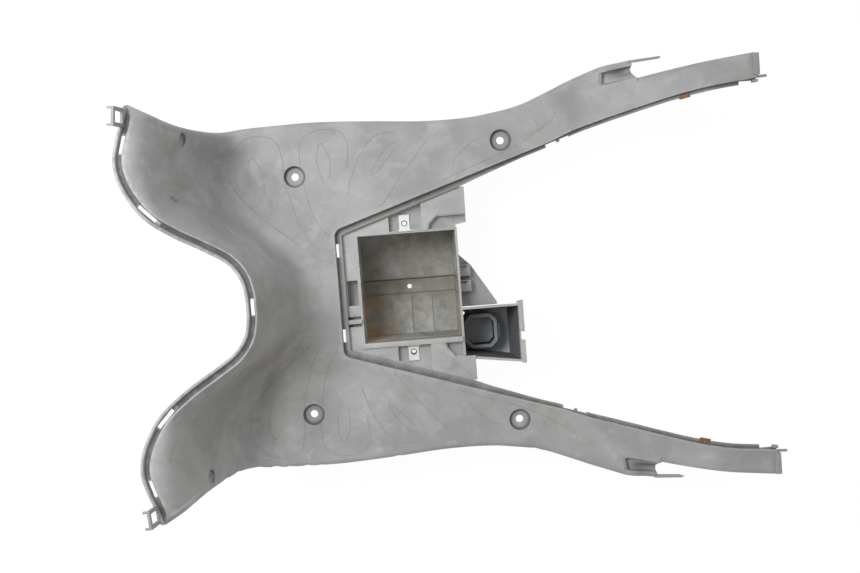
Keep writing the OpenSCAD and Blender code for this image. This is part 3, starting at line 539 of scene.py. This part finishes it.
def material(name):
    m = bpy.data.materials.new(name)
    m.use_nodes = True
    shader = m.node_tree.nodes["Principled BSDF"]
    place = m.node_tree.nodes.new("ShaderNodeTexCoord").outputs["Object"]
    return m, m.node_tree, shader, place


def bump(tree, shader, height_socket, strength, distance):
    b = tree.nodes.new("ShaderNodeBump")
    b.inputs["Strength"].default_value, b.inputs["Distance"].default_value = strength, distance
    tree.links.new(height_socket, b.inputs["Height"])
    tree.links.new(b.outputs[0], shader.inputs["Normal"])


WEATHERED = weathered_group()


def weathered(name, colour, dark, pale, dirt, share, stain=None, edge=False, grain=0.35):
    m, tree, shader, place = material(name)
    g = tree.nodes.new("ShaderNodeGroup")
    g.node_tree = WEATHERED
    tree.links.new(place, g.inputs["Vector"])
    for label, v in (("Colour", colour), ("Dark", dark), ("Pale", pale), ("Dirt", dirt), ("Dirt share", share)):
        g.inputs[label].default_value = v
    # rubbed marks worn edges; crease_shade marks where shade is painted
    for name_, socket in (("rubbed", "Edge"), ("crease_shade", "Crease shade")) if edge else ():
        a = tree.nodes.new("ShaderNodeAttribute")
        a.attribute_name = name_
        tree.links.new(a.outputs["Fac"], g.inputs[socket])
    colour_out = g.outputs["Colour"]
    if stain:
        colour_out = stain(tree, place, colour_out)
    tree.links.new(colour_out, shader.inputs["Base Color"])
    tree.links.new(g.outputs["Roughness"], shader.inputs["Roughness"])
    shader.inputs["Specular IOR Level"].default_value = 0.38
    bump(tree, shader, g.outputs["Height"], grain, 0.0006)
    return m


def key_places(wanted):
    """Outer point and outward direction in plan of the given key stations of the front rim."""
    s = stations(FRONT_KEYS, 1e9)
    return [(s[2 * i, 4:6], s[2 * i, 13:15]) for i in wanted]


def rim_slot(outer, out, length):
    """Slot in the channel of the rim, along the edge."""
    p, q = outer - 6.4 * out, outer - 11 * out
    return placed(box(-2, 2, -length / 2, length / 2, -10, 1), (*p, float(height(*q))), math.atan2(out[1], out[0]))


def recess_mesh():
    """The boxes, pads and trays that stand inside the ledge's lip, taken from the frame's own mesh."""
    bm = bmesh.new()
    bm.from_mesh(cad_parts["floorboard"].data)
    bmesh.ops.remove_doubles(bm, verts=bm.verts, dist=1e-6)
    lip_x = 49.4
    others = []
    for f in bm.faces:
        x, y, z = f.calc_center_median() / MM - Vector((0, 0, collar_depth))
        inside = lip_x + 0.15 < x < 300 and abs(y) < recess_y(x) - 9.14 and z < -7.5
        groove = 39 < x <= lip_x + 0.15 and -45 < y < -27 and z < -8
        if not (inside or groove):
            others.append(f)
    bmesh.ops.delete(bm, geom=others, context="FACES")
    bmesh.ops.dissolve_limit(bm, angle_limit=math.radians(0.6), verts=bm.verts, edges=bm.edges)
    mesh = bpy.data.meshes.new("recess_boxes")
    bm.to_mesh(mesh)
    bm.free()
    return mesh


def box_stain(tree, place, colour):
    """Marks of the recess, by place: cooler grey in the trays, and inside the battery box khaki damp, brown dust,
    rust along the floor's channel, its two dark edges, a heap of dust in one corner, a brown band under the rim and
    painted shade that deepens down the box. The lead box is darker inside, with a pale floor."""
    noise, ramp, math_, blend, stretched, parts = maker(tree)
    z = parts(place)[2]
    aside = math_("ABSOLUTE", math_("SUBTRACT", parts(place)[1], BATTERY[0][1]))
    within = math_("MULTIPLY", ramp(aside, 0.0662, 0.0657), ramp(parts(place)[0], 0.0658, 0.0663))
    pocket = math_("MULTIPLY", math_("SUBTRACT", 1.0, within), ramp(z, -0.0115, -0.0125))
    colour = blend(math_("MULTIPLY", pocket, 0.45), colour, srgb(140, 146, 154))
    # Share that grows down the battery box: it carries the box's stains and its painted shade
    low = math_("MULTIPLY", within, ramp(z, BOX_TOP * MM, (BOX_TOP - 25) * MM))
    damp = ramp(noise(stretched(place, (1, 1, 0.5), at=(0.12, 0.3, 0)), 26.0, 5.0, 0.65, 0.9), 0.42, 0.6)
    dust = ramp(noise(place, 60.0, 6.0, 0.7), 0.42, 0.66)
    colour = blend(math_("MULTIPLY", low, math_("MULTIPLY", damp, 0.5)), colour, srgb(122, 116, 92))
    colour = blend(math_("MULTIPLY", low, math_("MULTIPLY", dust, 0.4)), colour, srgb(104, 86, 60))
    rusty = ramp(noise(stretched(place, (1, 1, 0.4), at=(0.5, 0.1, 0)), 34.0, 6.0, 0.7, 0.6), 0.56, 0.66)
    along = ramp(math_("ABSOLUTE", math_("ADD", parts(place)[1], 0.006)), 0.03, 0.006)
    channel = math_("MULTIPLY", low, along)
    colour = blend(math_("MULTIPLY", math_("MULTIPLY", channel, rusty), 0.55), colour, srgb(132, 96, 60))
    colour = blend(math_("MULTIPLY", channel, 0.35), colour, srgb(96, 82, 58))
    # Painted shade: the colour greys and darkens down the battery box
    colour = blend(math_("MULTIPLY", low, 0.25), colour, srgb(116, 117, 106))
    for edge_y, share in ((0.0077, 0.75), (-0.0105, 0.4)):
        line = ramp(math_("ABSOLUTE", math_("SUBTRACT", parts(place)[1], edge_y)), 0.0016, 0.0005)
        colour = blend(math_("MULTIPLY", math_("MULTIPLY", low, line), share), colour, srgb(62, 56, 46))
    heap = math_("MULTIPLY", ramp(parts(place)[0], 0.115, 0.075), ramp(parts(place)[1], 0.0, -0.03))
    heap = math_("MULTIPLY", math_("MULTIPLY", heap, low), ramp(noise(place, 40.0, 5.0, 0.6), 0.35, 0.6))
    colour = blend(math_("MULTIPLY", heap, 0.9), colour, srgb(158, 130, 92))
    under_rim = math_("MULTIPLY", within, ramp(z, BOX_TOP * MM, (BOX_TOP - 3) * MM))
    under_rim = math_("MULTIPLY", under_rim, ramp(z, (BOX_TOP - 20) * MM, (BOX_TOP - 8) * MM))
    colour = blend(math_("MULTIPLY", under_rim, 0.6), colour, srgb(88, 76, 58))
    leads = ramp(parts(place)[0], 0.1868, 0.1878)
    inside = math_("MULTIPLY", leads, ramp(z, BOX_TOP * MM, (BOX_TOP - 8) * MM))
    colour = blend(math_("MULTIPLY", inside, 0.9), colour, srgb(70, 72, 74))
    return blend(math_("MULTIPLY", leads, ramp(z, -0.064, -0.07)), colour, srgb(168, 173, 177))


def boot_shade_and_dust(tree, place, colour):
    """The sleeve has painted shade, near black, inside and low down, and is dusty on its top lip."""
    noise, ramp, math_, blend, stretched, parts = maker(tree)
    z = parts(place)[2]
    # Painted shade that deepens down the sleeve
    colour = blend(ramp(z, -0.048, -0.056, 0, 0.85), colour, srgb(34, 34, 35))
    return blend(ramp(z, -0.0482, -0.047, 0, 0.6), colour, srgb(150, 152, 154))


def dark_ring(tree, place, x, y, inner, outer, fade):
    """Share of a ring round the upright axis at x and at y on both sides: 0 at the inner radius, 1 from fade outside
    it to the outer radius, and 0 again beyond. All in metres."""
    noise, ramp, math_, blend, stretched, parts = maker(tree)
    across = math_("SUBTRACT", parts(place)[0], x)
    aside = math_("SUBTRACT", math_("ABSOLUTE", parts(place)[1]), y)
    away_ = math_("SQRT", math_("ADD", math_("MULTIPLY", across, across), math_("MULTIPLY", aside, aside)))
    return math_("MULTIPLY", ramp(away_, inner, inner + fade), ramp(away_, outer + fade * 0.25, outer))


def shell_marks(tree, place, colour):
    """One dark scratch on the inner face of the right wing, and painted shade round the foot of each collar recess.
    """
    noise, ramp, math_, blend, stretched, parts = maker(tree)
    near = stretched(place, (1, 1, 1), turn=(0, 0, math.pi / 4), at=SCUFF_AT)
    near = stretched(near, [1 / half for half in SCUFF_HALF])
    length = tree.nodes.new("ShaderNodeVectorMath")
    length.operation = "LENGTH"
    tree.links.new(near, length.inputs[0])
    mark = math_("MULTIPLY", ramp(length.outputs["Value"], 1.0, 0.5), ramp(noise(place, 300.0), 0.35, 0.6))
    colour = blend(math_("MULTIPLY", mark, 0.7), colour, srgb(60, 60, 62))
    # Painted shade in the corner where each counterbore's floor meets its wall
    collar_foot_shade = math_("MAXIMUM", *(dark_ring(tree, place, x * MM, y * MM, 0.0085, 0.0124, 0.003) for x, y in BOLTS[::2]))
    return blend(math_("MULTIPLY", collar_foot_shade, 0.7), colour, srgb(78, 76, 72))


def bore_shade_ring(tree, place, colour):
    """Painted shade, dark grey, in and round the bore of a clip nut."""
    noise, ramp, math_, blend, stretched, parts = maker(tree)
    # Painted shade over the bore's wall and its edge
    bore_shade = dark_ring(tree, place, *CLIP_NUT, 0.0005, 0.0036, 0.001)
    return blend(math_("MULTIPLY", bore_shade, 0.85), colour, srgb(64, 62, 58))


BOX_TOP = -6.5
# Centre in metres and half the length and width of the battery box and the lead box
BATTERY = ((0.126, 0.0015, -0.04), (0.0585, 0.0645))
LEADS = ((0.218, -0.062, -0.04), (0.035, 0.03))
BETWEEN_BOXES = 0.186
CLIP_NUT = (0.125, 0.0777)
BOLTS = ((0, 142), (0, -142), (246, 167.5), (246, -167.5))
# The scratch: the shift that brings it to the origin once it is turned, and its half sizes
SCUFF_AT, SCUFF_HALF = (0.1704, -0.0021, -0.1255), (0.006, 0.0022, 0.06)
GREY, GREY_DARK, GREY_PALE, EARTH = srgb(155, 155, 154), srgb(128, 128, 128), srgb(190, 191, 192), srgb(120, 112, 98)
shell_grey = weathered("grey_moulded_plastic", GREY, GREY_DARK, GREY_PALE, EARTH, 0.25, stain=shell_marks, edge=True)
boxed_grey = weathered("stained_grey_plastic", srgb(170, 170, 169), srgb(146, 146, 145), GREY_PALE, EARTH, 0.35,
                       stain=box_stain)
hidden_grey = weathered("plain_grey_plastic", srgb(160, 160, 158), GREY_DARK, GREY_PALE, EARTH, 0.1)
groove_grey = weathered("dirt_in_tread_lines", srgb(150, 150, 148), srgb(132, 132, 130), srgb(172, 172, 170), EARTH,
                        0.2)
rubber = weathered("black_rubber", srgb(88, 88, 90), srgb(70, 70, 71), srgb(78, 78, 80), srgb(96, 90, 80), 0.3,
                   stain=boot_shade_and_dust)
zinc = weathered("dull_zinc", srgb(226, 227, 228), srgb(200, 200, 198), srgb(240, 240, 240),
                 srgb(150, 136, 112), 0.2, stain=bore_shade_ring)
rust = weathered("rusty_steel", srgb(128, 92, 62), srgb(84, 54, 34), srgb(166, 130, 96), srgb(70, 44, 28), 0.55)
for m, metal in ((zinc, 0.6), (rust, 0.35)):
    m.node_tree.nodes["Principled BSDF"].inputs["Metallic"].default_value = metal

# ---------------------------------------------------------------- shell
ROWS = 121
RUB, CREASE_SHADE = np.zeros((2, ROWS)), np.zeros((2, ROWS))
RUB[:, [5, 6, 7]] = 0.5
RUB[0, [61, 62, 63]] = 0.5
RUB[1, [53, 54, 62, 63, 64]] = 0.9
# Painted shade rows: full in the ledge's inner corner and at the bottom of the rim's channel, faint on the ledge's
# outer face
CREASE_SHADE[:, [3, 4]] = 1
CREASE_SHADE[:, [0, 1, 2]] = 0.3
CREASE_SHADE[1, [57, 58, 59, 60]] = 1
PITCH = 3.5
front = rings(FRONT_KEYS, PITCH)
arm = rings(ARM_KEYS)
both_halves = np.concatenate([front[:0:-1] * [1, -1, 1], front])
left_arm = arm[::-1] * [1, -1, 1]


def nicked(sections):
    """The left outer edge is chewed: narrow dents, each a bell along X, push the skirt and its corner inwards."""
    x, y = sections[..., 0], sections[..., 1]
    rows = np.zeros(sections.shape[1])
    rows[50:80] = 1
    for at, deep, wide in ((-101, 1.0, 2), (-92, 1.3, 2.5), (-71, 0.8, 2), (-52, 1.3, 3), (-47, 0.9, 2),
                           (-34, 1.0, 2.5), (-13, 1.1, 3), (3, 0.7, 2), (96, 0.8, 3), (262, 0.7, 4)):
        dent = deep * np.exp(-((x - at) / wide) ** 2) * rows * (y < -185)
        sections[..., 1] += dent
        sections[..., 2] -= 0.4 * dent
    return sections


points, faces = joined([loft(nicked(both_halves)), loft(arm), loft(left_arm)])
shell = new_object("floor_shell", mesh_of("floor_shell", points, faces), [shell_grey])
rims = np.clip(np.concatenate([stations(FRONT_KEYS, PITCH)[:0:-1, 6], stations(FRONT_KEYS, PITCH)[:, 6]]), 0, 1)
rims = np.concatenate([rims, np.zeros(2 * len(arm))])[:, None]
# crease_shade carries the painted shade of these rows
for label, weights in (("rubbed", RUB), ("crease_shade", CREASE_SHADE)):
    values = (weights[0] + (weights[1] - weights[0]) * rims).ravel()
    shell.data.attributes.new(label, "FLOAT", "POINT").data.foreach_set("value", values.astype(np.float32))

collar_r, bore_r = 12.3, 4.6
counterbore = turned([(0, -32), (bore_r, -32), (bore_r, -collar_depth - 0.4), (bore_r + 0.4, -collar_depth),
                      (collar_r - 0.4, -collar_depth), (collar_r, -collar_depth + 0.5), (collar_r, -0.7),
                      (collar_r + 0.8, 0.1), (collar_r + 1.2, 8), (0, 8)], 64)
side_cut = turned([(0, -25), (2.8, -25), (2.8, -4), (7.1, -4), (7.5, -3.5), (7.5, -0.5), (8.4, 0.6), (8.4, 8),
                   (0, 8)], 48)
side_xy = (-110.3, 187.3)
side_z = float(height(*side_xy))
side_n = normal(np.array([side_xy[0]]), np.array([side_xy[1]]))[0]
side_turn = (math.atan2(side_n[1], side_n[0]), math.acos(side_n[2]))
cutters = [placed(counterbore, (x, y, 0)) for x, y in BOLTS]
cutters += both([placed(side_cut, (*side_xy, side_z), *side_turn)])
rim_at = key_places((0, 6, 10))
cutters += [rim_slot(*rim_at[0], 18)] + both([rim_slot(*rim_at[1], 27), rim_slot(*rim_at[2], 19)])
cutters += both([box(41.9, 45, 43, 59, -13, -5)])
cutters += both([placed(box(0, 14, -6, -1.6, -13, -3), (299, recess_y(299), 0), 0.314),
                 placed(box(0, 12, -6, -1.6, -13, -3), (316, recess_y(316), 0), 0.314),
                 box(511, 526, 203, 208.6, 65, 75)])
cut(shell, cutters)

# Plan curves of the moulded lines on the right half, in mm
TREAD = [
    [(3, 58), (-18, 75), (-40, 94), (-59, 113), (-72, 131), (-77, 149), (-77, 162), (-70, 176), (-58, 187),
     (-44, 192), (-28, 190), (-17, 182), (-13, 166), (-12, 151), (-10, 129), (-5, 108), (1, 86), (8, 73), (14, 60)],
    [(-47, 122), (-53, 141), (-54, 157), (-49, 168), (-41, 157), (-37, 137), (-37, 122)],
    [(36, 67), (24, 83), (16, 104), (12, 124), (8, 147), (8, 165), (10, 180), (18, 190), (37, 195), (57, 191),
     (65, 178), (65, 165), (63, 148)],
    [(34, 131), (28, 154), (29, 168), (34, 179), (41, 167), (43, 153), (41, 137)],
    [(60, 114), (66, 134), (76, 156), (89, 175), (101, 184), (124, 186)],
    [(124, 174), (114, 171), (102, 158), (94, 146), (91, 137), (103, 146), (113, 157), (121, 166)],
    [(161, 176), (142, 153), (124, 132), (107, 109), (99, 100)],
    [(226, 171), (216, 170), (202, 159), (190, 148), (188, 139)],
    [(315, 198), (310, 188), (291, 175), (263, 159), (239, 149), (205, 137), (173, 125)],
]
cut(shell, both([groove_tube(line, 0.9, 0.5) for line in TREAD]), groove_grey)
smooth_by_angle(shell.data, 32)
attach(shell, "root")
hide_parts("floorboard")

# ---------------------------------------------------------------- boxes and pads of the recess
recess = new_object("recess_boxes", recess_mesh(), [boxed_grey, hidden_grey])
# The outer sides and the undersides of the boxes have no stains
for face in recess.data.polygons:
    heart, half = BATTERY if face.center.x < BETWEEN_BOXES else LEADS
    out = face.center - Vector(heart)
    rim = max(abs(out.x) / half[0], abs(out.y) / half[1]) > 0.85
    if face.center.z < -0.008 and (face.normal.z < -0.3 or (rim and face.normal.dot(out) > 0)):
        face.material_index = 1
eased(recess, 0.5)
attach(recess, "root")
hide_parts("floorboard")

# ---------------------------------------------------------------- fittings moulded on the shell
def on_lug(part):
    return placed(part, (-156.4, 198, 142), math.radians(-5), math.radians(-10))


lug = [box(-1.4, 1.4, 0, 20, 0, 37), box(-6, 0.5, 0.1, 2.5, 34.4, 36.9), box(-6, 0.5, 17.5, 19.9, 34.4, 36.9)]
fittings = [on_lug(p) for p in lug]
fittings += [box(526, 533, 214.6, 238.4, 60, 79.4), box(526, 532, 206.8, 209.8, 68.8, 74),
             box(526, 530, 206.9, 213.4, 68.9, 71)]
pin = turned([(0, 0), (1.6, 0), (1.6, 17), (0.9, 18), (0, 18)], 20)
fittings += [placed(pin, (524, 212, 74), math.radians(3), math.radians(90))]
for x, far in ((70, 201), (132, 197), (196, 194)):
    fittings += [box(x, x + 2, recess_y(x) + 0.6, far, -13.2, -1.8)]
boss_profile = [(0, -8.5), (15.3, -8.5), (15.3, -1.6), (0, -1.6)]
strip = prism([(402, 246), (402, 248.6), (439, 251.3), (439, 249.1)], 3,
              [(402, 245.8), (402, 248.4), (439, 251.1), (439, 248.9)], 12)
torn = prism([(402, 246), (402, 248.6), (426, 250.3), (433, 250.7), (436, 250), (431, 249.2), (435, 248.6)], 3,
             [(402, 245.8), (402, 248.4), (428, 250.2), (437, 250.8), (430, 249.9), (439, 249.1), (433, 248.4)], 12)
fittings = both(fittings) + [strip, other_side(torn)]
points, faces = joined(fittings)
fit = new_object("shell_fittings", mesh_of("shell_fittings", points, faces), [shell_grey])
cut(fit, both([on_lug(box(-3, 3, 4, 16, 15, 33)), box(525, 530.4, 213.6, 236, 58, 76)]))
eased(fit, 0.35)
cup = turned([(0, -6.6), (9.7, -6.6), (9.7, -2), (0, -2)], 48)
bosses = [placed(turned(boss_profile, 48), (x, y, 0)) for x, y in BOLTS]
bosses += both([placed(cup, (*side_xy, side_z), *side_turn)])
points, faces = joined(bosses)
boss = new_object("bolt_bosses", mesh_of("bolt_bosses", points, faces), [shell_grey])
cut(boss, [placed(counterbore, (x, y, 0)) for x, y in BOLTS]
    + both([placed(side_cut, (*side_xy, side_z), *side_turn)]))
eased(boss, 0.4)
for piece in (fit, boss):
    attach(piece, "root")
    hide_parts("floorboard")

# ---------------------------------------------------------------- pieces that keep the CAD shape
for node, finish in (("socket_boot", rubber), ("clip_nut_right", zinc), ("clip_nut_left", zinc),
                     ("arm_clip_nut_right", rust), ("arm_clip_nut_left", rust)):
    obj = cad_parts[node]
    obj.data.materials.clear()
    obj.data.materials.append(finish)

# ---------------------------------------------------------------- stage, light and camera
FOCAL, TILT_X, TILT_Y, ROLL = 1093.94, 0.0613676, 0.0231959, 0.0760816
SHIFT_X, SHIFT_Y, RANGE = -149.344, -12.024, 1300.0
IMAGE_W = 860
floor_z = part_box("floorboard")[0][2] - 0.0001
bpy.ops.mesh.primitive_plane_add(size=14, location=(0, 0, floor_z))
ground = bpy.context.object
ground.name = "pale_ground"
gm = bpy.data.materials.new("pale_ground")
gm.use_nodes = True
gt = gm.node_tree
gt.nodes.clear()
out, path = gt.nodes.new("ShaderNodeOutputMaterial"), gt.nodes.new("ShaderNodeLightPath")
diffuse, glow = gt.nodes.new("ShaderNodeBsdfDiffuse"), gt.nodes.new("ShaderNodeEmission")
diffuse.inputs["Color"].default_value = (0.8, 0.8, 0.8, 1)
mixer, seen = gt.nodes.new("ShaderNodeMixShader"), gt.nodes.new("ShaderNodeMath")
seen.operation = "MAXIMUM"
gt.links.new(path.outputs["Is Camera Ray"], seen.inputs[0])
gt.links.new(path.outputs["Is Glossy Ray"], seen.inputs[1])
share = gt.nodes.new("ShaderNodeMath")
share.operation = "MULTIPLY"
gt.links.new(seen.outputs[0], share.inputs[0])
share.inputs[1].default_value = 0.93
gt.links.new(share.outputs[0], mixer.inputs[0])
gt.links.new(diffuse.outputs[0], mixer.inputs[1])
gt.links.new(glow.outputs[0], mixer.inputs[2])
glow.inputs["Strength"].default_value = 1.03
gt.links.new(mixer.outputs[0], out.inputs[0])
ground.data.materials.append(gm)

world = bpy.data.worlds.new("soft_room")
bpy.context.scene.world = world
world.use_nodes = True
wt = world.node_tree
background = wt.nodes["Background"]
wpath, wmix = wt.nodes.new("ShaderNodeLightPath"), wt.nodes.new("ShaderNodeMix")
wmix.data_type = "RGBA"
wt.links.new(wpath.outputs["Is Camera Ray"], wmix.inputs[0])
wmix.inputs[6].default_value = (0.395, 0.39, 0.38, 1)
wmix.inputs[7].default_value = (1, 1, 1, 1)
wt.links.new(wmix.outputs[2], background.inputs[0])


def sun(name, direction, strength, angle, colour):
    lamp = bpy.data.lights.new(name, "SUN")
    lamp.energy, lamp.angle, lamp.color = strength, math.radians(angle), colour
    obj = bpy.data.objects.new(name, lamp)
    obj.rotation_euler = Vector(direction).to_track_quat("Z", "Y").to_euler()
    bpy.context.scene.collection.objects.link(obj)


sun("side_window", (0.68, 0.62, 0.38), 0.8, 40, (0.96, 0.98, 1.0))
sun("low_fill", (-0.1, -0.95, 0.35), 0.7, 60, (1.0, 0.93, 0.82))
softbox = bpy.data.lights.new("softbox", "AREA")
softbox.shape, softbox.size, softbox.energy, softbox.color = "SQUARE", 0.7, 21.5, (0.95, 0.965, 1.0)
lamp = bpy.data.objects.new("softbox", softbox)
lamp.location = (-0.62, 0.5, 1.2)
lamp.rotation_euler = (lamp.location - Vector((0.15, 0.05, 0))).to_track_quat("Z", "Y").to_euler()
bpy.context.scene.collection.objects.link(lamp)

rx = Matrix.Rotation(TILT_X, 3, "X")
ry = Matrix.Rotation(TILT_Y, 3, "Y")
rz = Matrix.Rotation(ROLL, 3, "Z")
turn = (rz @ ry @ rx).transposed()
camera = bpy.data.cameras.new("camera")
camera.sensor_width, camera.lens = 36.0, FOCAL / IMAGE_W * 36.0
camera.clip_start, camera.clip_end = 0.05, 30
cam = bpy.data.objects.new("camera", camera)
eye = turn @ Vector((-SHIFT_X, -SHIFT_Y, RANGE)) + Vector((0, 0, collar_depth))
cam.matrix_world = Matrix.Translation(eye * MM) @ turn.to_4x4()
bpy.context.scene.collection.objects.link(cam)
bpy.context.scene.camera = cam
bpy.context.scene.view_settings.view_transform = "Standard"
